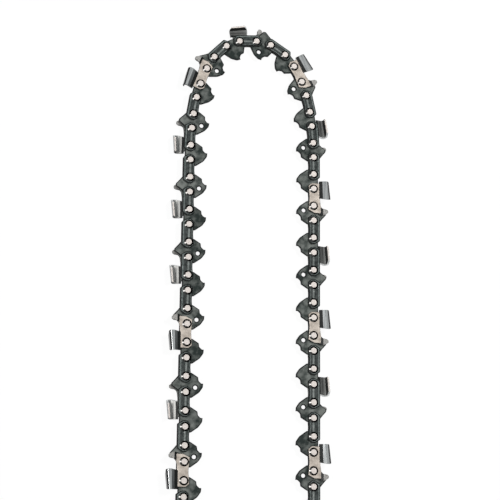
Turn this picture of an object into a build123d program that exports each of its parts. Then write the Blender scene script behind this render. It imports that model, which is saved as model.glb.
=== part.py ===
from build123d import *
from math import copysign, cos, hypot, pi, radians, sin
import os

os.makedirs("parts", exist_ok=True)

# Chain sizes, in millimetres
drive_links = 40            # every fourth link is a cutter, so this is an even number
strap_pitch = 10.06         # rivet spacing of straps and cutters
drive_pitch = 8.58          # rivet spacing of drive links
gauge = 1.3                 # drive link thickness, which runs in the bar groove
strap_thickness = 1.1
side_clearance = 0.05       # between a drive link and the strap beside it
rivet_radius = 1.9          # to the corners of the rivet's hub
bore_clearance = 0.06       # between the hub and the drive link's bore
rivet_sides = 6             # facets of each hub and bore, which the straps hide

# Loop as it lies: two straight strands between rounded ends
half_width = 35.85          # rivet line to the long axis
end_rise = 73.0             # length of each curved end along the long axis
end_power = 0.83            # 1 is a half-ellipse end, and less has squarer shoulders
top_shift = -3.4            # middle of the top cutter from the long axis

# Strap outline, from the rivet line
strap_overhang = 3.4        # past each rivet
strap_outer = 3.9
strap_inner = 3.0
strap_waist = 2.4           # inner edge between the rivets
strap_nose = 2.1            # height of the flat end

# Drive link outline
drive_end = 3.3             # round end about each rivet
drive_outer = 3.1
tang_depth = 10.0
tang_shoulder = 3.6         # where the tang starts, below each end
hook_depth = 2.6            # step and hollow in front of the tang's tip
tip_length = 1.3            # blunt end of the tang
tip_rise = 0.25             # how far that end slopes
bumper_height = 7.7
bumper_length = 1.4         # flat top of the ramp
oil_hole_radius = 1.1
oil_hole_depth = 5.5

# Cutter outline
gauge_height = 9.1          # depth gauge, above the rivet line
gauge_length = 3.4
gauge_ahead = 1.8           # back of the depth gauge in front of the front rivet
cutter_nose = 4.2           # plate past the front rivet
cutter_height = 10.1        # cutting edge of the top plate
top_plate_length = 10.8
top_plate_drop = 0.8        # the top plate falls away behind its edge
side_reach = 3.1            # chain centre plane to the side plate's outer face
top_plate_cross = 1.4       # how far the top plate passes the centre plane
plate_thickness = 1.0
edge_slant = 30             # angle of the cutting edge, in degrees
edge_behind = 3.8           # cutting edge behind the front rivet

half_strap = strap_pitch / 2
half_drive = drive_pitch / 2
links = 2 * drive_links
strap_inside = gauge / 2 + side_clearance
strap_outside = strap_inside + strap_thickness
bore_radius = (rivet_radius + bore_clearance) / cos(pi / rivet_sides)


# Loop of rivet centres
def end_share(c):
    """A sine or cosine bent to the shape of the curved ends, with its sign kept."""
    return copysign(abs(c) ** end_power, c)


def loop_point(s, straight):
    """A point on the right half of the loop: top end, straight strand, bottom end."""
    if s < pi / 2:
        return half_width * end_share(sin(s)), straight / 2 + end_rise * end_share(cos(s))
    if s < pi / 2 + 1:
        return half_width, straight * (pi / 2 + 0.5 - s)
    t = s - pi / 2 - 1
    return half_width * end_share(cos(t)), -straight / 2 - end_rise * end_share(sin(t))


def step_from(s, pitch, straight):
    """The place on the loop that lies one rivet spacing further on."""
    x, y = loop_point(s, straight)
    low, high = s, s + 0.7
    for _ in range(50):
        middle = (low + high) / 2
        px, py = loop_point(middle, straight)
        if hypot(px - x, py - y) < pitch:
            low = middle
        else:
            high = middle
    return low


def right_rivets(straight):
    """Rivet centres from the top cutter's front rivet down the right strand."""
    low, high = 0.0, pi / 2
    for _ in range(50):
        middle = (low + high) / 2
        if loop_point(middle, straight)[0] < half_strap + top_shift:
            low = middle
        else:
            high = middle
    places = [low]
    for k in range(1, drive_links):
        places.append(step_from(places[-1], drive_pitch if k % 2 else strap_pitch, straight))
    return [loop_point(s, straight) for s in places]


# The left half is the right half turned round, and the strands are as long as the links need
shortest = 0.0
longest = drive_links * (strap_pitch + drive_pitch) / 2
for _ in range(50):
    strand = (shortest + longest) / 2
    right = right_rivets(strand)
    gap_x = right[-1][0] + right[0][0]
    gap_y = right[-1][1] + right[0][1]
    if gap_x > 0 and hypot(gap_x, gap_y) > strap_pitch:
        longest = strand
    else:
        shortest = strand
rivets = right + [(-x, -y) for x, y in right]
centre_plane = side_reach


def link_plane(k):
    """Link k lies between two rivets, with x along the travel and y outwards."""
    (x0, y0), (x1, y1) = rivets[k - 1], rivets[k % links]
    return Plane(
        origin=((x0 + x1) / 2, (y0 + y1) / 2, centre_plane),
        x_dir=(x1 - x0, y1 - y0, 0),
        z_dir=(0, 0, 1),
    )


def at_both_rivets(half):
    return Locations((-half, 0), (half, 0))


def drive_tang():
    """Lower edge of a drive link, from its rear end to its front end."""
    step = -tang_depth + hook_depth
    return [
        (-half_drive - drive_end * 0.9, -tang_shoulder),
        (-half_drive, -tang_depth * 0.78),
        (-tip_length * 1.6, -tang_depth + tip_rise),
        (-tip_length * 0.3, -tang_depth),
        (half_drive * 0.06, step - tip_rise * 3),
        (half_drive * 0.45, step),
        (half_drive * 0.87, step + tip_rise),
        (half_drive + drive_end * 0.6, -tang_shoulder),
    ]


# Drive link with its tang, as it sits behind each cutter
with BuildPart() as plain_drive:
    with BuildSketch(Plane.XY.offset(-gauge / 2)):
        with BuildLine():
            Polyline(
                (half_drive + drive_end, 0),
                (half_drive + drive_end / 2, drive_outer),
                (-half_drive - drive_end / 2, drive_outer),
                (-half_drive - drive_end, 0),
                *drive_tang(),
                close=True,
            )
        make_face()
        with at_both_rivets(half_drive):
            RegularPolygon(bore_radius, rivet_sides, mode=Mode.SUBTRACT)
    extrude(amount=gauge)

# Drive link with a ramp beside the depth gauge, an oil hole and a round end about its pivot
nose = drive_end * cos(radians(15))
nose_half = drive_end * sin(radians(15))
with BuildPart() as bumper_drive:
    with BuildSketch(Plane.XY.offset(-gauge / 2)):
        with BuildLine():
            rear = ThreePointArc(
                (-half_drive - nose, nose_half),
                (-half_drive - drive_end, 0),
                (-half_drive - nose, -nose_half),
            )
            Polyline(
                rear @ 1,
                *drive_tang(),
                (half_drive + drive_end, 0),
                (half_drive + drive_end / 2, drive_outer),
                (half_drive * 0.7, (drive_outer + bumper_height) / 2),
                (bumper_length * 0.3, bumper_height),
                (-bumper_length * 0.7, bumper_height),
                (-half_drive * 0.55, bumper_height - 2),
                (-half_drive, drive_outer),
                (-half_drive - drive_end / 2, drive_outer),
                rear @ 0,
            )
        make_face()
        with at_both_rivets(half_drive):
            RegularPolygon(bore_radius, rivet_sides, mode=Mode.SUBTRACT)
        with Locations((-half_drive * 0.38, -oil_hole_depth)):
            RegularPolygon(oil_hole_radius, rivet_sides, mode=Mode.SUBTRACT)
    extrude(amount=gauge)


def strap_outline():
    """Flat-ended strap with a waist on its inner edge."""
    end = half_strap + strap_overhang
    return [
        (half_strap + strap_overhang / 2, strap_outer),
        (end, strap_nose / 2),
        (end, -strap_nose / 2),
        (half_strap + strap_overhang / 2, -strap_inner),
        (0, -strap_waist),
        (-half_strap - strap_overhang / 2, -strap_inner),
        (-end, -strap_nose / 2),
        (-end, strap_nose / 2),
        (-half_strap - strap_overhang / 2, strap_outer),
    ]


# Tie strap pair, riveted into one unit
with BuildPart() as tie_link:
    for side in (strap_inside, -strap_outside):
        with BuildSketch(Plane.XY.offset(side)):
            with BuildLine():
                Polyline(*strap_outline(), close=True)
            make_face()
        extrude(amount=strap_thickness)
    with BuildSketch(Plane.XY.offset(-strap_inside)):
        with at_both_rivets(half_strap):
            RegularPolygon(rivet_radius, rivet_sides)
    extrude(amount=2 * strap_inside)

# Top of a cutter: side plate flared outwards and top plate bent over the chain
edge_at = half_strap - edge_behind
heel_at = edge_at - top_plate_length
flare = side_reach - plate_thickness
with BuildPart() as cutter_top:
    with BuildSketch(Plane((heel_at, -top_plate_drop, 0), x_dir=(0, 1, 0), z_dir=(1, 0, 0))):
        with BuildLine():
            Polyline(
                (strap_outer - 0.6, strap_inside),
                (strap_outer - 0.6, strap_outside),
                (strap_outer + 2.6, side_reach),
                (cutter_height - 1.2, side_reach),
                (cutter_height, side_reach - 0.9),
                (cutter_height, -top_plate_cross),
                (cutter_height - plate_thickness, -top_plate_cross),
                (cutter_height - plate_thickness, flare - 0.6),
                (cutter_height - 1.6, flare),
                (strap_outer + 2.8, flare),
                close=True,
            )
        make_face()
    extrude(amount=top_plate_length, dir=(top_plate_length, top_plate_drop, 0))
    split(
        bisect_by=Plane(
            (edge_at, 0, side_reach),
            z_dir=(cos(radians(edge_slant)), 0, -sin(radians(edge_slant))),
        ),
        keep=Keep.BOTTOM,
    )

# Cutter on the near side, riveted to a strap on the far side
gauge_root = half_strap + gauge_ahead
with BuildPart() as near_cutter:
    add(cutter_top.part)
    with BuildSketch(Plane.XY.offset(-strap_outside)):
        with BuildLine():
            Polyline(*strap_outline(), close=True)
        make_face()
    extrude(amount=strap_thickness)
    with BuildSketch(Plane.XY.offset(-strap_inside)):
        with at_both_rivets(half_strap):
            RegularPolygon(rivet_radius, rivet_sides)
    extrude(amount=2 * strap_inside)
    with BuildSketch(Plane.XY.offset(strap_inside)):
        with BuildLine():
            Polyline(
                (half_strap + strap_overhang * 0.7, -strap_inner),
                (half_strap + cutter_nose, strap_nose / 4),
                (gauge_root + gauge_length, gauge_height * 0.6),
                (gauge_root + gauge_length * 0.8, gauge_height - 0.4),
                (gauge_root + gauge_length * 0.4, gauge_height),
                (gauge_root, gauge_height - 0.8),
                (gauge_root - 1, strap_outer + 1),
                (edge_at + 0.8, strap_outer),
                (-half_strap - strap_overhang / 2, strap_outer),
                (-half_strap - strap_overhang, strap_nose / 2),
                (-half_strap - strap_overhang, -strap_nose / 2),
                (-half_strap - strap_overhang / 2, -strap_inner),
                close=True,
            )
        make_face()
    extrude(amount=strap_thickness)

with BuildPart() as far_cutter:
    add(mirror(near_cutter.part, about=Plane.XY))


def placed(shape, k):
    return shape.part.moved(link_plane(k).location)


# Cutters change sides along the loop, apart from one that repeats its neighbour's side
repeated = 17
for n in range(drive_links // 2):
    side = far_cutter if n % 2 == 0 or n == repeated else near_cutter
    with BuildPart() as cutter:
        add(placed(side, 4 * n))
    cutter.part.label = f"cutter_{n + 1:02d}"
    export_step(cutter.part, f"parts/cutter_{n + 1:02d}.step")

    with BuildPart() as tie_straps:
        add(placed(tie_link, 4 * n - 2))
    tie_straps.part.label = f"tie_straps_{n + 1:02d}"
    export_step(tie_straps.part, f"parts/tie_straps_{n + 1:02d}.step")

    with BuildPart() as drive_pair:
        add(placed(bumper_drive, 4 * n - 3))
        add(placed(plain_drive, 4 * n - 1))
    drive_pair.part.label = f"drive_links_{n + 1:02d}"
    export_step(drive_pair.part, f"parts/drive_links_{n + 1:02d}.step")
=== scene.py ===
from math import atan2, copysign, cos, hypot, pi, radians, sin, tan

import bmesh
import bpy
from mathutils import Matrix, Vector


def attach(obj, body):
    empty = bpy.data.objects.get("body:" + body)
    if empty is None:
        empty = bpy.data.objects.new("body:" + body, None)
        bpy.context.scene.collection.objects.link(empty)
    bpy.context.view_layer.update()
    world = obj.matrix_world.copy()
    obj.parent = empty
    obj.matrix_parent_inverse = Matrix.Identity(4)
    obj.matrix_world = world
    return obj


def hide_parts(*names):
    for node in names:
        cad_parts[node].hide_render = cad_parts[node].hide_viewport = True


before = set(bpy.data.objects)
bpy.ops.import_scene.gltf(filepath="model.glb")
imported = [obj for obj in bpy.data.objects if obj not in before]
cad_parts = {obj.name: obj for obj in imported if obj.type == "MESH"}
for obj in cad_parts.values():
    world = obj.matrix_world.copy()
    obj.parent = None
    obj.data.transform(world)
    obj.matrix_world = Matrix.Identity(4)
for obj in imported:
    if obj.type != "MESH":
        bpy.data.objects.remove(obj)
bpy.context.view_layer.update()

MM = 0.001

# Sizes shared with the part, in millimetres
DRIVE_LINKS = 40
STRAP = 10.06
DRIVE = 8.58
HALF_WIDTH = 35.85
END_RISE = 73.0
END_POWER = 0.83
TOP_SHIFT = -3.4
GAUGE = 1.3
STRAP_T = 1.1
CLEAR = 0.05
REACH = 3.1
INSIDE = GAUGE / 2 + CLEAR
OUTSIDE = INSIDE + STRAP_T
HS = STRAP / 2
HD = DRIVE / 2
LINKS = 2 * DRIVE_LINKS

# Rivet centres round the loop: a quarter turn, a strand of length 1 in s, and a quarter turn
QUARTER = pi / 2
HALVINGS = 50
LINK_SPAN = 0.7


def loop_point(s, straight):
    """The point at s on the right half of the loop, counted from its top."""
    if s < QUARTER:
        return HALF_WIDTH * sin(s) ** END_POWER, straight / 2 + END_RISE * cos(s) ** END_POWER
    if s < QUARTER + 1:
        return HALF_WIDTH, straight * (QUARTER + 0.5 - s)
    t = s - QUARTER - 1
    across = copysign(abs(cos(t)) ** END_POWER, cos(t))
    return HALF_WIDTH * across, -straight / 2 - END_RISE * sin(t) ** END_POWER


def bisect(low, high, short):
    """The place between low and high up to which short is true."""
    for _ in range(HALVINGS):
        middle = (low + high) / 2
        if short(middle):
            low = middle
        else:
            high = middle
    return low


def right_rivets(straight):
    """Rivet centres of the right half, each one pitch from the last.

    No link takes up more than LINK_SPAN of s."""
    places = [bisect(0.0, QUARTER, lambda s: loop_point(s, straight)[0] < HS + TOP_SHIFT)]
    for k in range(1, DRIVE_LINKS):
        x, y = loop_point(places[-1], straight)
        pitch = DRIVE if k % 2 else STRAP

        def short(s):
            px, py = loop_point(s, straight)
            return hypot(px - x, py - y) < pitch

        places.append(bisect(places[-1], places[-1] + LINK_SPAN, short))
    return [loop_point(s, straight) for s in places]


def too_short(straight):
    points = right_rivets(straight)
    gap_x = points[-1][0] + points[0][0]
    gap_y = points[-1][1] + points[0][1]
    return gap_x <= 0 or hypot(gap_x, gap_y) <= STRAP


strand = bisect(0.0, DRIVE_LINKS * (STRAP + DRIVE) / 2, too_short)
right = right_rivets(strand)
rivets = right + [(-x, -y) for x, y in right]


def link_matrix(k):
    """The place of link k: its middle between two rivets, with x towards the next one."""
    x0, y0 = rivets[(k - 1) % LINKS]
    x1, y1 = rivets[k % LINKS]
    turn = Matrix.Rotation(atan2(y1 - y0, x1 - x0), 4, "Z")
    middle = Vector(((x0 + x1) / 2, (y0 + y1) / 2, REACH)) * MM
    return Matrix.Translation(middle) @ turn


# Mesh helpers, in millimetres until a mesh is finished
TINY = 1e-4
CORNER_SHARE = 0.48


def along(value, start, length):
    """How far a value has come along a stretch, from 0 to 1."""
    return min(max((value - start) / length, 0), 1)


def rounded(points, steps=5):
    """A closed outline with each corner (x, y, radius) rounded."""
    out = []
    for i, (x, y, r) in enumerate(points):
        p = Vector((x, y))
        a = Vector(points[i - 1][:2]) - p
        b = Vector(points[(i + 1) % len(points)][:2]) - p
        half = a.angle(b) / 2
        reach = min(r / tan(half), CORNER_SHARE * a.length, CORNER_SHARE * b.length) if r else 0
        if reach < TINY:
            out.append((x, y))
            continue
        radius = reach * tan(half)
        middle = p + (a.normalized() + b.normalized()).normalized() * (radius / sin(half))
        start = p + a.normalized() * reach - middle
        end = p + b.normalized() * reach - middle
        sweep = start.angle_signed(end)
        for n in range(steps + 1):
            t = Matrix.Rotation(-sweep * n / steps, 2) @ start
            out.append(tuple(middle + t))
    return out


def circle(x, y, r, steps=28):
    turns = [2 * pi * n / steps for n in range(steps)]
    return [(x + r * cos(turn), y + r * sin(turn)) for turn in turns]


def finish_mesh(mesh, smooth=40):
    """The mesh in metres, with shared corners and edges that are sharp above an angle."""
    b = bmesh.new()
    b.from_mesh(mesh)
    bmesh.ops.remove_doubles(b, verts=b.verts, dist=TINY)
    bmesh.ops.recalc_face_normals(b, faces=b.faces)
    b.to_mesh(mesh)
    b.free()
    mesh.transform(Matrix.Scale(MM, 4))
    mesh.polygons.foreach_set("use_smooth", [True] * len(mesh.polygons))
    mesh.set_sharp_from_angle(angle=radians(smooth))
    return mesh


def plate(name, loops, low, high, bevel, inset=0.0):
    """A plate with rounded edges from its outline and holes, between two heights."""
    curve = bpy.data.curves.new(name, "CURVE")
    curve.dimensions = "2D"
    curve.fill_mode = "BOTH"
    for loop in loops:
        spline = curve.splines.new("POLY")
        spline.points.add(len(loop) - 1)
        spline.use_cyclic_u = True
        for point, (x, y) in zip(spline.points, loop):
            point.co = (x, y, 0, 1)
    curve.extrude = (high - low) / 2 - bevel
    curve.bevel_depth = bevel
    curve.bevel_resolution = 2
    curve.offset = -bevel - inset
    holder = bpy.data.objects.new(name, curve)
    bpy.context.collection.objects.link(holder)
    graph = bpy.context.evaluated_depsgraph_get()
    mesh = bpy.data.meshes.new_from_object(holder.evaluated_get(graph))
    bpy.data.objects.remove(holder)
    bpy.data.curves.remove(curve)
    mesh.name = name
    mesh.transform(Matrix.Translation((0, 0, (low + high) / 2)))
    return finish_mesh(mesh)


def lathe(name, profile, steps=32):
    """A turned piece from (radius, height, material) points. A point's material runs to the next."""
    b = bmesh.new()
    rings = []
    for r, z, _ in profile:
        ring = circle(0, 0, r, steps) if r else [(0, 0)]
        rings.append([b.verts.new((x, y, z)) for x, y in ring])
    for low, high, (_, _, index) in zip(rings, rings[1:], profile):
        for n in range(steps):
            m = (n + 1) % steps
            corners = [low[n % len(low)], low[m % len(low)], high[m % len(high)], high[n % len(high)]]
            b.faces.new(list(dict.fromkeys(corners))).material_index = index
    mesh = bpy.data.meshes.new(name)
    b.to_mesh(mesh)
    b.free()
    return finish_mesh(mesh, smooth=15)


def joined(name, *meshes):
    """Several meshes as one, with all their materials."""
    b = bmesh.new()
    whole = bpy.data.meshes.new(name)
    for mesh in meshes:
        first = len(whole.materials)
        known = len(b.faces)
        b.from_mesh(mesh)
        b.faces.ensure_lookup_table()
        for face in b.faces[known:]:
            face.material_index += first
        for mat in mesh.materials:
            whole.materials.append(mat)
    b.to_mesh(whole)
    b.free()
    return whole


def swept(name, section, rear, front, tip=0.0, drop=0.0, zones=((0, 0),), heel=0, steps=8):
    """A bent plate: its (v, w) section carried along u from a rear edge to a front edge.

    The side with the greatest v drops towards the rear, from the tip on.
    Each zone is the first edge of the section that takes a material, and that material's place.
    Heel is the place of the material on the rear end."""
    b = bmesh.new()
    rings = []
    low_v = min(section)[0]
    high_v = max(section)[0]
    for n in range(steps + 1):
        t = n / steps
        ring = []
        for v, w in section:
            u = rear(v, w) * (1 - t) + front(v, w) * t
            share = along(v, low_v, high_v - low_v)
            ring.append((u, v + drop * (u - tip) * share, w))
        rings.append([b.verts.new(co) for co in ring])
    count = len(section)
    for low, high in zip(rings, rings[1:]):
        for n in range(count):
            m = (n + 1) % count
            face = b.faces.new((low[n], low[m], high[m], high[n]))
            face.material_index = [place for first, place in zones if first <= n][-1]
    b.faces.new(rings[0][::-1]).material_index = heel
    b.faces.new(rings[-1])
    mesh = bpy.data.meshes.new(name)
    b.to_mesh(mesh)
    b.free()
    return finish_mesh(mesh, smooth=35)


def edged(mesh, face, edge, flat=0.9):
    """One material on the flat faces of a plate and another round its edges."""
    mesh.materials.clear()
    mesh.materials.append(face)
    mesh.materials.append(edge)
    for polygon in mesh.polygons:
        polygon.material_index = 0 if abs(polygon.normal.z) > flat else 1


def mirrored(mesh, name):
    """The same piece on the other side of the chain's middle plane."""
    other = mesh.copy()
    other.name = name
    other.transform(Matrix.Scale(-1, 4, (0, 0, 1)))
    other.flip_normals()
    return other


# Materials
PATCH_DETAIL = 4
PATCH_SHIFT = (0.05, 0.03, 0.0)
TONE_STOPS = (0.32, 0.7)
GRAIN_SCALE = 6000
GRAIN_DETAIL = 3
BUMP_DEPTH = 0.05 * MM
BAR_TO_BACK = (-9 * MM, 6 * MM)


def material(name, base, metal, rough, build):
    m = bpy.data.materials.new(name)
    m.use_nodes = True
    shader = m.node_tree.nodes["Principled BSDF"]
    shader.inputs["Base Color"].default_value = (*base, 1)
    shader.inputs["Metallic"].default_value = metal
    shader.inputs["Roughness"].default_value = rough
    build(m.node_tree.nodes, m.node_tree.links, shader)
    return m


def noise(nodes, links, place, scale, detail):
    texture = nodes.new("ShaderNodeTexNoise")
    texture.inputs["Scale"].default_value = scale
    texture.inputs["Detail"].default_value = detail
    links.new(place, texture.inputs["Vector"])
    return texture.outputs["Fac"]


def combined(nodes, links, operation, first, second):
    node = nodes.new("ShaderNodeMath")
    node.operation = operation
    links.new(first, node.inputs[0])
    links.new(second, node.inputs[1])
    return node.outputs["Value"]


def raised(nodes, links, tone, measure, span, amount):
    """A tone lowered by half an amount at one end of a measure's span, and raised by it at the other."""
    share = nodes.new("ShaderNodeMapRange")
    share.inputs["From Min"].default_value = span[0]
    share.inputs["From Max"].default_value = span[1]
    share.inputs["To Min"].default_value = -amount / 2
    share.inputs["To Max"].default_value = amount / 2
    links.new(measure, share.inputs["Value"])
    return combined(nodes, links, "ADD", tone, share.outputs["Result"])


def mottled(dark, light, scale=900, rough=(0.35, 0.6), bump=0.15, draw=1.0, spread=0.0, fade=0.0):
    """Patches of tone, a grain and a fine bump, as on ground and oiled steel.

    A small draw stretches the tone into long streaks along the piece, which on the hood's chrome are
    painted reflections. The tone differs from piece to piece by spread, and grows lighter away from the bar
    by fade."""
    def build(nodes, links, shader):
        coordinates = nodes.new("ShaderNodeTexCoord").outputs["Object"]
        stretch = nodes.new("ShaderNodeMapping")
        stretch.inputs["Scale"].default_value = (draw, 1, 1)
        links.new(coordinates, stretch.inputs["Vector"])
        place = stretch.outputs["Vector"]
        tone = noise(nodes, links, place, scale, PATCH_DETAIL)
        grain = noise(nodes, links, place, GRAIN_SCALE, GRAIN_DETAIL)
        if spread:
            chance = nodes.new("ShaderNodeObjectInfo").outputs["Random"]
            shift = nodes.new("ShaderNodeVectorMath")
            shift.operation = "SCALE"
            shift.inputs[0].default_value = PATCH_SHIFT
            links.new(chance, shift.inputs["Scale"])
            links.new(shift.outputs["Vector"], stretch.inputs["Location"])
            tone = raised(nodes, links, tone, chance, (0, 1), spread)
        if fade:
            split = nodes.new("ShaderNodeSeparateXYZ")
            links.new(coordinates, split.inputs["Vector"])
            tone = raised(nodes, links, tone, split.outputs["Y"], BAR_TO_BACK, fade)
        ramp = nodes.new("ShaderNodeValToRGB")
        for element, stop, colour in zip(ramp.color_ramp.elements, TONE_STOPS, (dark, light)):
            element.position = stop
            element.color = (*colour, 1)
        links.new(tone, ramp.inputs["Fac"])
        links.new(ramp.outputs["Color"], shader.inputs["Base Color"])
        span = nodes.new("ShaderNodeMapRange")
        span.inputs["To Min"].default_value = rough[0]
        span.inputs["To Max"].default_value = rough[1]
        links.new(grain, span.inputs["Value"])
        links.new(span.outputs["Result"], shader.inputs["Roughness"])
        push = nodes.new("ShaderNodeBump")
        push.inputs["Strength"].default_value = bump
        push.inputs["Distance"].default_value = BUMP_DEPTH
        links.new(grain, push.inputs["Height"])
        links.new(push.outputs["Normal"], shader.inputs["Normal"])
    return build


# Drive link and strap materials
drive_mat = material("drive_steel", (0.1, 0.115, 0.11), metal=0.5, rough=0.45, build=mottled(
    dark=(0.026, 0.035, 0.032), light=(0.215, 0.228, 0.212), scale=300, spread=0.18, fade=0.26))
# Near-black edge steel: partly the dark oxide of the sides, partly painted shade that draws a dark contour
# round the links, straps and cutter plates
edge_oxide_and_shade = material("edge_oxide_and_shade", (0.006, 0.008, 0.008), metal=0.0, rough=0.7, build=mottled(
    dark=(0.003, 0.004, 0.004), light=(0.009, 0.011, 0.011), rough=(0.6, 0.8)))
strap_mat = material("strap_steel", (0.03, 0.036, 0.036), metal=0.5, rough=0.42, build=mottled(
    dark=(0.024, 0.029, 0.028), light=(0.09, 0.1, 0.097), scale=600, spread=0.1))
# Light tones of the rim and the ridge: painted highlights on raised relief
strap_rim_highlight = material("strap_rim_highlight", (0.16, 0.18, 0.175), metal=0.6, rough=0.35, build=mottled(
    dark=(0.1, 0.122, 0.115), light=(0.28, 0.31, 0.298), scale=700, rough=(0.3, 0.45), spread=0.1))
ridge_highlight_mat = material("strap_ridge", (0.18, 0.195, 0.185), metal=0.6, rough=0.35, build=mottled(
    dark=(0.16, 0.178, 0.168), light=(0.36, 0.385, 0.368), scale=800, rough=(0.3, 0.45), spread=0.1))

# Rivet materials: the near-black ring and the very dark flank round each head are painted shade, and the
# flank's glint comes from a lamp
ring_shade_mat = material("rivet_ring_shade", (0.004, 0.005, 0.005), metal=0.0, rough=0.6, build=mottled(
    dark=(0.002, 0.003, 0.003), light=(0.006, 0.007, 0.007)))
flank_mat = material("rivet_flank", (0.05, 0.05, 0.05), metal=1.0, rough=0.12, build=mottled(
    dark=(0.08, 0.078, 0.075), light=(0.14, 0.135, 0.13), rough=(0.1, 0.16), bump=0.03))
rivet_mat = material("rivet_steel", (0.8, 0.73, 0.68), metal=0.15, rough=0.45, build=mottled(
    dark=(0.54, 0.49, 0.455), light=(0.74, 0.68, 0.64), scale=1500, rough=(0.4, 0.5), bump=0.06))

# Cutter materials
plate_mat = material("cutter_plate", (0.36, 0.31, 0.27), metal=0.4, rough=0.4, build=mottled(
    dark=(0.42, 0.365, 0.315), light=(0.72, 0.635, 0.555), scale=400, rough=(0.35, 0.48), bump=0.06))
gauge_mat = material("gauge_steel", (0.25, 0.24, 0.22), metal=0.6, rough=0.4, build=mottled(
    dark=(0.3, 0.29, 0.275), light=(0.6, 0.58, 0.55), scale=1200, rough=(0.3, 0.45), bump=0.1))
# Near-black cutter steel: painted shade in the hood's bend, under its top plate, on its rear end, round the
# gauge and round the strap panels, and at the flare's root partly the dark oxide of the bend
oxide_and_shade_black = material("cutter_oxide_and_shade", (0.014, 0.015, 0.015), metal=0.4, rough=0.4, build=mottled(
    dark=(0.008, 0.009, 0.009), light=(0.02, 0.021, 0.02)))
# Hood chrome: the long light and dark streaks in its tone are painted reflections
inner_mat = material("cutter_inner", (0.2, 0.2, 0.19), metal=1.0, rough=0.35, build=mottled(
    dark=(0.22, 0.22, 0.215), light=(0.95, 0.935, 0.9), rough=(0.5, 0.62), bump=0.03, draw=0.03))
chrome_mat = material("cutter_chrome", (0.6, 0.61, 0.61), metal=1.0, rough=0.2, build=mottled(
    dark=(0.28, 0.3, 0.305), light=(0.95, 0.95, 0.94), rough=(0.28, 0.4), bump=0.02, draw=0.03))
# Darker copy of the chrome for the top plate's outer face: painted shade
top_shade_chrome = material("cutter_top", (0.3, 0.3, 0.3), metal=1.0, rough=0.35, build=mottled(
    dark=(0.14, 0.145, 0.147), light=(0.48, 0.48, 0.475), rough=(0.3, 0.42), bump=0.03, draw=0.03))

# Drive links: the outline with a hooked tang, two bores, and on a bumper link a ramp and an oil hole
LINK_BEVEL = 0.62
LINK_END = 3.3
LINK_BACK = 3.1
BORE = 2.0
RAMP_FRONT = 0.42
RAMP_REAR = -0.98
RAMP_TOP = 7.7
RAMP_SLOPE = 5.7
SHOULDER = -3.6
TANG = -10.0
TANG_REAR = -7.75
TIP_REAR = -1.404
TIP_FRONT = 0.7
NOTCH = -7.4
NOTCH_FRONT = 2.1
OIL_HOLE = (-HD * 0.38, -5.5, 1.1)


def drive_loops(bumper):
    """The outline, from corners (x, y, radius) about the middle of the link, and the holes."""
    points = [
        (HD + LINK_END, 0.0, 2.4),
        (HD + LINK_END / 2, LINK_BACK, 1.2),
    ]
    if bumper:
        points += [
            (HD * 0.7, (LINK_BACK + RAMP_TOP) / 2, 3.0),
            (RAMP_FRONT, RAMP_TOP, 0.4),
            (RAMP_REAR, RAMP_TOP, 0.3),
            (-HD * 0.55, RAMP_SLOPE, 2.5),
            (-HD, LINK_BACK, 1.5),
        ]
    points += [
        (-HD - LINK_END / 2, LINK_BACK, 1.6),
        (-HD - LINK_END, 0.0, 2.4),
        (-HD - LINK_END * 0.9, SHOULDER, 1.0),
        (-HD, TANG_REAR, 5.0),
        (TIP_REAR, TANG + 0.25, 2.5),
        (TIP_FRONT, TANG + 0.12, 0.0),
        (TIP_FRONT, NOTCH - 1.4, 1.2),
        (NOTCH_FRONT, NOTCH + 0.1, 1.5),
        (HD * 0.96, NOTCH + 0.35, 0.6),
        (HD + LINK_END * 0.6, SHOULDER, 1.0),
    ]
    loops = [rounded(points), circle(-HD, 0, BORE), circle(HD, 0, BORE)]
    if bumper:
        loops.append(circle(*OIL_HOLE))
    return loops


plain_mesh = plate("plain_drive_link", drive_loops(False), -GAUGE / 2, GAUGE / 2, LINK_BEVEL)
bumper_mesh = plate("bumper_drive_link", drive_loops(True), -GAUGE / 2, GAUGE / 2, LINK_BEVEL)
edged(plain_mesh, drive_mat, edge_oxide_and_shade, flat=0.98)
edged(bumper_mesh, drive_mat, edge_oxide_and_shade, flat=0.98)

# Straps: a base, a rim, a panel inside the rim and a ridge on the panel. The black border of the base is a
# painted shadow, the light rim and ridge are painted highlights on raised relief, and the black bevel round
# the panel is painted shade
STRAP_CORNER = HS + 1.7
STRAP_END = HS + 3.4
STRAP_FLAT = 1.05
STRAP_BACK = 3.9
STRAP_BAR = -3.0
STRAP_WAIST = -2.4
WAIST_RADIUS = 14.0
PANEL_BACK = (HS + 1.2, 2.7)
PANEL_END = HS + 2.4
PANEL_FLAT = 0.8
PANEL_BAR = (HS + 1.3, -2.2)
PANEL_WAIST = -1.6
RIDGE_HALF = 2.6
RIDGE_BACK = 0.5
RIDGE_BAR = -0.6
RIDGE_CORNER = 0.3
LAYER_FOOT = INSIDE + 0.2


def waisted(front, waist):
    """An outline from the corners of its front half, drawn in at the middle of its bar side."""
    rear = [(-x, y, r) for x, y, r in front[::-1]]
    return rounded([*front, (0, waist, WAIST_RADIUS), *rear])


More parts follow.
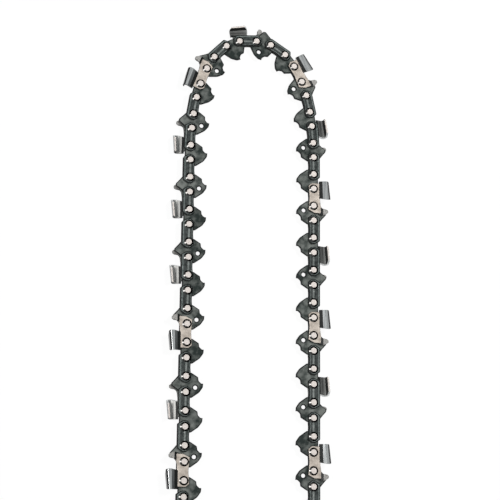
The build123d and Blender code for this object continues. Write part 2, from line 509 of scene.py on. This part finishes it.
strap_outline = waisted([
    (STRAP_CORNER, STRAP_BACK, 1.0),
    (STRAP_END, STRAP_FLAT, 0.8),
    (STRAP_END, -STRAP_FLAT, 0.8),
    (STRAP_CORNER, STRAP_BAR, 1.2),
], STRAP_WAIST)
panel_outline = waisted([
    (*PANEL_BACK, 1.0),
    (PANEL_END, PANEL_FLAT, 0.8),
    (PANEL_END, -PANEL_FLAT, 0.8),
    (*PANEL_BAR, 1.2),
], PANEL_WAIST)
ridge_outline = rounded([
    (RIDGE_HALF, RIDGE_BAR, RIDGE_CORNER),
    (RIDGE_HALF, RIDGE_BACK, RIDGE_CORNER),
    (-RIDGE_HALF, RIDGE_BACK, RIDGE_CORNER),
    (-RIDGE_HALF, RIDGE_BAR, RIDGE_CORNER),
])
strap_base = plate("strap_base", [strap_outline], INSIDE, OUTSIDE - 0.3, bevel=0.3)
strap_rim = plate("strap_rim", [strap_outline], LAYER_FOOT, OUTSIDE - 0.18, bevel=0.1, inset=0.5)
strap_panel = plate("strap_panel", [panel_outline], LAYER_FOOT, OUTSIDE, bevel=0.4)
strap_ridge = plate("strap_ridge", [ridge_outline], OUTSIDE - 0.15, OUTSIDE + 0.1, bevel=0.1)
# Painted shadow on the black base border, painted highlights on the rim and ridge, painted shade on the
# panel's black bevel
edged(strap_base, edge_oxide_and_shade, edge_oxide_and_shade)
edged(strap_rim, strap_rim_highlight, edge_oxide_and_shade)
edged(strap_panel, strap_mat, oxide_and_shade_black)
edged(strap_ridge, ridge_highlight_mat, strap_mat)
strap_mesh = joined("strap", strap_base, strap_rim, strap_panel, strap_ridge)
far_strap_mesh = mirrored(strap_mesh, "far_strap")

# Cutter plate, with the root of the depth gauge at its front
EDGE_AT = HS - 3.8
NOSE = HS + 4.2
NOSE_HEIGHT = 0.52
ROOT = HS + 1.8
ROOT_HEIGHT = 5.6
GAUGE_LENGTH = 3.4
GULLET_HEIGHT = 4.4
FAR_FACE = -0.9

cutter_plate_mesh = plate("cutter_plate", [rounded([
    (HS + 2.38, STRAP_BAR, 0.5),
    (NOSE, NOSE_HEIGHT, 0.5),
    (ROOT + GAUGE_LENGTH * 0.75, ROOT_HEIGHT - 0.4, 0.3),
    (ROOT - 0.3, ROOT_HEIGHT, 0.2),
    (ROOT - 1.5, GULLET_HEIGHT, 3.0),
    (EDGE_AT + 0.8, STRAP_BACK, 1.0),
    (-STRAP_END + 0.1, STRAP_BACK - 0.2, 0.4),
    (-STRAP_END, -STRAP_FLAT, 0.5),
    (-STRAP_CORNER, STRAP_BAR, 0.5),
    (0, STRAP_WAIST, 12.0),
])], INSIDE, OUTSIDE, bevel=0.34)
edged(cutter_plate_mesh, plate_mat, edge_oxide_and_shade)
# Painted shade: the plate's face towards the chain's middle takes the darker drive-link steel instead of
# its own colour
cutter_plate_mesh.materials.append(drive_mat)
for polygon in cutter_plate_mesh.polygons:
    if polygon.normal.z < FAR_FACE:
        polygon.material_index = 2

# Depth gauge, set outwards by a bend in the plate
GAUGE_FOOT = 3.2
GAUGE_BEND = 4.1
GAUGE_UPRIGHT = 5.3
GAUGE_TOP = 8.5
GAUGE_LEVELS = (6.4, 7.0, 7.5, 7.9)
GAUGE_OUTER = OUTSIDE + 0.6
GAUGE_INNER = OUTSIDE - 0.5
GULLET_DEPTH = 1.6
SHADED_UP_TO = 5.7


def gauge_rear(v, _):
    gullet = along(v, start=4.0, length=1.8)
    tip = along(v, start=7.0, length=1.5)
    return ROOT - GULLET_DEPTH + GULLET_DEPTH * gullet ** 0.7 + 0.9 * tip ** 2


def gauge_front(v, _):
    lean = along(v, start=0.5, length=5.0)
    taper = along(v, start=5.5, length=3.0)
    return NOSE * (1 - lean) + (ROOT + GAUGE_LENGTH) * lean - 0.8 * taper - 0.7 * taper ** 3


gauge_mesh = swept("depth_gauge", rounded([
    (GAUGE_FOOT, INSIDE, 0),
    (GAUGE_FOOT, OUTSIDE - 0.05, 0),
    (GAUGE_BEND, OUTSIDE - 0.05, 0.6),
    (GAUGE_UPRIGHT, GAUGE_OUTER, 0.6),
    *((v, GAUGE_OUTER, 0) for v in GAUGE_LEVELS),
    (GAUGE_TOP, GAUGE_OUTER, 0.5),
    (GAUGE_TOP, GAUGE_INNER, 0.3),
    *((v, GAUGE_INNER, 0) for v in GAUGE_LEVELS[::-1]),
    (GAUGE_UPRIGHT + 0.1, GAUGE_INNER, 0.5),
    (GAUGE_BEND + 0.1, INSIDE, 0.5),
], 4), gauge_rear, gauge_front)
edged(gauge_mesh, gauge_mat, oxide_and_shade_black)
# Painted shade: the gauge is near black low down by the plate, as it is round its edges
for polygon in gauge_mesh.polygons:
    if polygon.center.y < SHADED_UP_TO * MM:
        polygon.material_index = 1
cutter_mesh = joined("cutter", cutter_plate_mesh, gauge_mesh)
far_cutter_mesh = mirrored(cutter_mesh, "far_cutter")

# Flared side plate and bent-over top plate, cut off on the slant at the front
HOOD_LENGTH = 10.8
HOOD_FOOT = 3.3
FLARE_FOOT = 5.4
FLARE_TOP = 7.1
HOOD_TOP = 10.01
HOOD_T = 1.0
HOOD_CROSS = -1.4
CREST = REACH - 0.01
FLARE = REACH - HOOD_T
TOP_SLANT = radians(30)
TOP_DROP = 1.2 / HOOD_LENGTH
HEEL_CHAMFER = 0.6
HEEL_FROM = 9.1

# Materials round the section of the hood, each from its first edge on. The near-black zones are painted
# shade, and at the flare's root partly the dark oxide of the bend. The top plate's outer face takes a
# darkened chrome as painted shade, and its free edge takes the rivet's light steel as a painted highlight
CHROME = 0
DARK = 1
INNER = 2
TOP = 3
PAINTED_HIGHLIGHT = 4
HOOD_ZONES = (
    (0, CHROME),
    (1, DARK),
    (2, CHROME),
    (15, DARK),
    (20, TOP),
    (29, PAINTED_HIGHLIGHT),
    (36, DARK),
    (48, INNER),
    (59, DARK),
)


def hood_rear(v, _):
    return EDGE_AT - HOOD_LENGTH + HEEL_CHAMFER * along(v, start=HEEL_FROM, length=1) ** 2


def hood_front(_, w):
    return EDGE_AT - (REACH - w) * tan(TOP_SLANT)


hood_mesh = swept("cutter_hood", rounded([
    (HOOD_FOOT, INSIDE, 0),
    (HOOD_FOOT, OUTSIDE, 0),
    (FLARE_FOOT, OUTSIDE + 0.71, 0),
    (FLARE_TOP, CREST, 0.8),
    (HOOD_TOP - 1.2, CREST, 0.8),
    (HOOD_TOP, REACH - 0.9, 0.8),
    (HOOD_TOP, HOOD_CROSS, 0.1),
    (HOOD_TOP - HOOD_T, HOOD_CROSS, 0.1),
    (HOOD_TOP - HOOD_T, FLARE - 0.6, 0.5),
    (HOOD_TOP - 1.6, FLARE, 0.5),
    (FLARE_TOP + 0.2, FLARE, 0.6),
    (FLARE_FOOT - 0.5, FLARE - 0.84, 0),
], 6), hood_rear, hood_front, tip=EDGE_AT, drop=TOP_DROP, zones=HOOD_ZONES, heel=DARK)
# The rivet's light steel here is a painted highlight along the top plate's free edge
for mat in (chrome_mat, oxide_and_shade_black, inner_mat, top_shade_chrome, rivet_mat):
    hood_mesh.materials.append(mat)
far_hood_mesh = mirrored(hood_mesh, "far_hood")

# Rivet: a hub, and on both ends a head with a bright spun face and a flank down to the strap, the flank and
# the ring at its foot coloured near black as painted shade
HUB = 1.9
RING = 0
FLANK = 1
FACE = 2
HEAD_POINTS = (
    (2.6, -0.05, RING),
    (2.55, 0.06, FLANK),
    (1.62, 0.57, FACE),
    (1.56, 0.61, FACE),
    (1.2, 0.615, FACE),
    (0.6, 0.62, FACE),
    (0, 0.62, FACE),
)
head = [(r, OUTSIDE + height, place) for r, height, place in HEAD_POINTS]
stretches = [place for _, _, place in head[-2::-1]] + [RING]
far_head = [(r, -z, place) for (r, z, _), place in zip(head[::-1], stretches)]
rivet_mesh = lathe("rivet", [*far_head, (HUB, -INSIDE, FLANK), (HUB, INSIDE, FLANK), *head])
for mat in (ring_shade_mat, flank_mat, rivet_mat):
    rivet_mesh.materials.append(mat)

# Pieces in place, each riding on its section of the chain: a bumper link, straps, a plain link and a cutter
SECTION_LINKS = 4
REPEATED_SIDE = 17


def put(mesh, name, matrix, section, node):
    piece = bpy.data.objects.new(name, mesh)
    bpy.context.collection.objects.link(piece)
    piece.matrix_world = matrix
    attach(piece, f"section_{section:02d}")
    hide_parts(node)


def put_rivets(unit, at, section, node):
    for end, x in (("rear", -HS), ("front", HS)):
        place = at @ Matrix.Translation((x * MM, 0, 0))
        put(rivet_mesh, f"{unit}_{end}_rivet_{section:02d}", place, section, node)


for i in range(LINKS // SECTION_LINKS):
    n = i + 1
    last = SECTION_LINKS * i
    far = i % 2 == 0 or i == REPEATED_SIDE
    drive = f"drive_links_{n:02d}"
    tie = f"tie_straps_{n:02d}"
    cutter = f"cutter_{n:02d}"
    put(bumper_mesh, f"bumper_link_{n:02d}", link_matrix(last - 3), n, drive)
    put(plain_mesh, f"plain_link_{n:02d}", link_matrix(last - 1), n, drive)
    at = link_matrix(last - 2)
    put(strap_mesh, f"near_strap_{n:02d}", at, n, tie)
    put(far_strap_mesh, f"far_strap_{n:02d}", at, n, tie)
    put_rivets("tie", at, n, tie)
    at = link_matrix(last)
    put(far_cutter_mesh if far else cutter_mesh, f"cutter_body_{n:02d}", at, n, cutter)
    put(far_hood_mesh if far else hood_mesh, f"cutter_top_{n:02d}", at, n, cutter)
    put(strap_mesh if far else far_strap_mesh, f"cutter_strap_{n:02d}", at, n, cutter)
    put_rivets("cutter", at, n, cutter)

# Floor, which is white to the camera and in reflections, and keeps some of the shadow
FLOOR_HALF = 3
FLOOR_TONE = 0.95
WHITE_SHARE = 0.95

corners = [(-1, -1), (1, -1), (1, 1), (-1, 1)]
floor_mesh = bpy.data.meshes.new("floor")
floor_mesh.from_pydata([(x * FLOOR_HALF, y * FLOOR_HALF, 0) for x, y in corners], [], [(0, 1, 2, 3)])
floor = bpy.data.objects.new("floor", floor_mesh)
bpy.context.collection.objects.link(floor)


def seen_white(nodes, links, shader):
    path = nodes.new("ShaderNodeLightPath").outputs
    white = combined(nodes, links, "MAXIMUM", path["Is Camera Ray"], path["Is Glossy Ray"])
    white = combined(nodes, links, "MAXIMUM", white, path["Is Transmission Ray"])
    share = nodes.new("ShaderNodeMath")
    share.operation = "MULTIPLY"
    share.inputs[1].default_value = WHITE_SHARE
    links.new(white, share.inputs[0])
    glow = nodes.new("ShaderNodeEmission")
    glow.inputs["Strength"].default_value = 1.0
    mix = nodes.new("ShaderNodeMixShader")
    links.new(share.outputs["Value"], mix.inputs["Fac"])
    links.new(shader.outputs["BSDF"], mix.inputs[1])
    links.new(glow.outputs["Emission"], mix.inputs[2])
    links.new(mix.outputs["Shader"], nodes["Material Output"].inputs["Surface"])


floor_mat = material("floor_white", (FLOOR_TONE,) * 3, metal=0.0, rough=1.0, build=seen_white)
floor_mesh.materials.append(floor_mat)

# Light: a dark horizon and a bright zenith, so bent chrome shows dark and light bands
SKY_STOPS = ((0.56, 0.012), (0.72, 0.45), (0.86, 0.55), (0.94, 0.4), (1.0, 0.4))
SKY_TINT = (0.96, 1.0, 1.01)
ZENITH = (-0.1, 0.05, 0.99)

world = bpy.data.worlds.new("studio")
bpy.context.scene.world = world
world.use_nodes = True
sky = world.node_tree
ramp = sky.nodes.new("ShaderNodeValToRGB")
stops = ramp.color_ramp.elements
for _ in SKY_STOPS[2:]:
    stops.new(0.5)
for element, (place, _) in zip(stops, SKY_STOPS):
    element.position = place
for element, (_, level) in zip(stops, SKY_STOPS):
    element.color = (*(level * tint for tint in SKY_TINT), 1)
tilt = sky.nodes.new("ShaderNodeVectorMath")
tilt.operation = "DOT_PRODUCT"
tilt.inputs[1].default_value = ZENITH
sky.links.new(sky.nodes.new("ShaderNodeTexCoord").outputs["Generated"], tilt.inputs[0])
sky.links.new(tilt.outputs["Value"], ramp.inputs["Fac"])
sky.links.new(ramp.outputs["Color"], sky.nodes["Background"].inputs["Color"])
sky.nodes["Background"].inputs["Strength"].default_value = 1.0


def lamp(name, place, target, size, power):
    light = bpy.data.lights.new(name, "AREA")
    light.shape = "RECTANGLE"
    light.size, light.size_y = size
    light.energy = power
    o = bpy.data.objects.new(name, light)
    bpy.context.collection.objects.link(o)
    o.location = place
    o.rotation_euler = (Vector(target) - Vector(place)).to_track_quat("-Z", "Y").to_euler()
    return o


LIT_POINT = (0, 0.05, 0)
softbox = lamp("softbox", place=(0.36, 0.22, 0.58), target=LIT_POINT, size=(0.15, 0.15), power=5.0)
softbox.visible_glossy = False
lamp("left_card", place=(-0.62, -0.03, 0.65), target=LIT_POINT, size=(0.28, 0.3), power=3)

# Camera at the photograph's angle, with its focal length and centre in pixels of a square image
AZIMUTH = radians(-45)
ELEVATION = radians(72)
ROLL = radians(47.012)
DISTANCE = 0.7516
TARGET = Vector((0, 0.045, 0.0053))
IMAGE = 500
FOCAL = 1345.46
CENTRE_X = 251.95
CENTRE_Y = 249.85
SENSOR = 36

forward = Vector((-sin(AZIMUTH) * cos(ELEVATION), cos(AZIMUTH) * cos(ELEVATION), -sin(ELEVATION)))
level_side = Vector((cos(AZIMUTH), sin(AZIMUTH), 0))
level_up = level_side.cross(forward)
side = level_side * cos(ROLL) + level_up * sin(ROLL)
up = level_up * cos(ROLL) - level_side * sin(ROLL)
turn = Matrix((side, up, -forward)).transposed().to_4x4()
camera = bpy.data.objects.new("camera", bpy.data.cameras.new("camera"))
bpy.context.collection.objects.link(camera)
camera.matrix_world = Matrix.Translation(TARGET - forward * DISTANCE) @ turn
camera.data.sensor_fit = "HORIZONTAL"
camera.data.sensor_width = SENSOR
camera.data.lens = FOCAL / IMAGE * SENSOR
camera.data.shift_x = -(CENTRE_X - IMAGE / 2) / IMAGE
camera.data.shift_y = (CENTRE_Y - IMAGE / 2) / IMAGE
camera.data.clip_start = 0.01
bpy.context.scene.camera = camera
bpy.context.scene.view_settings.view_transform = "Standard"
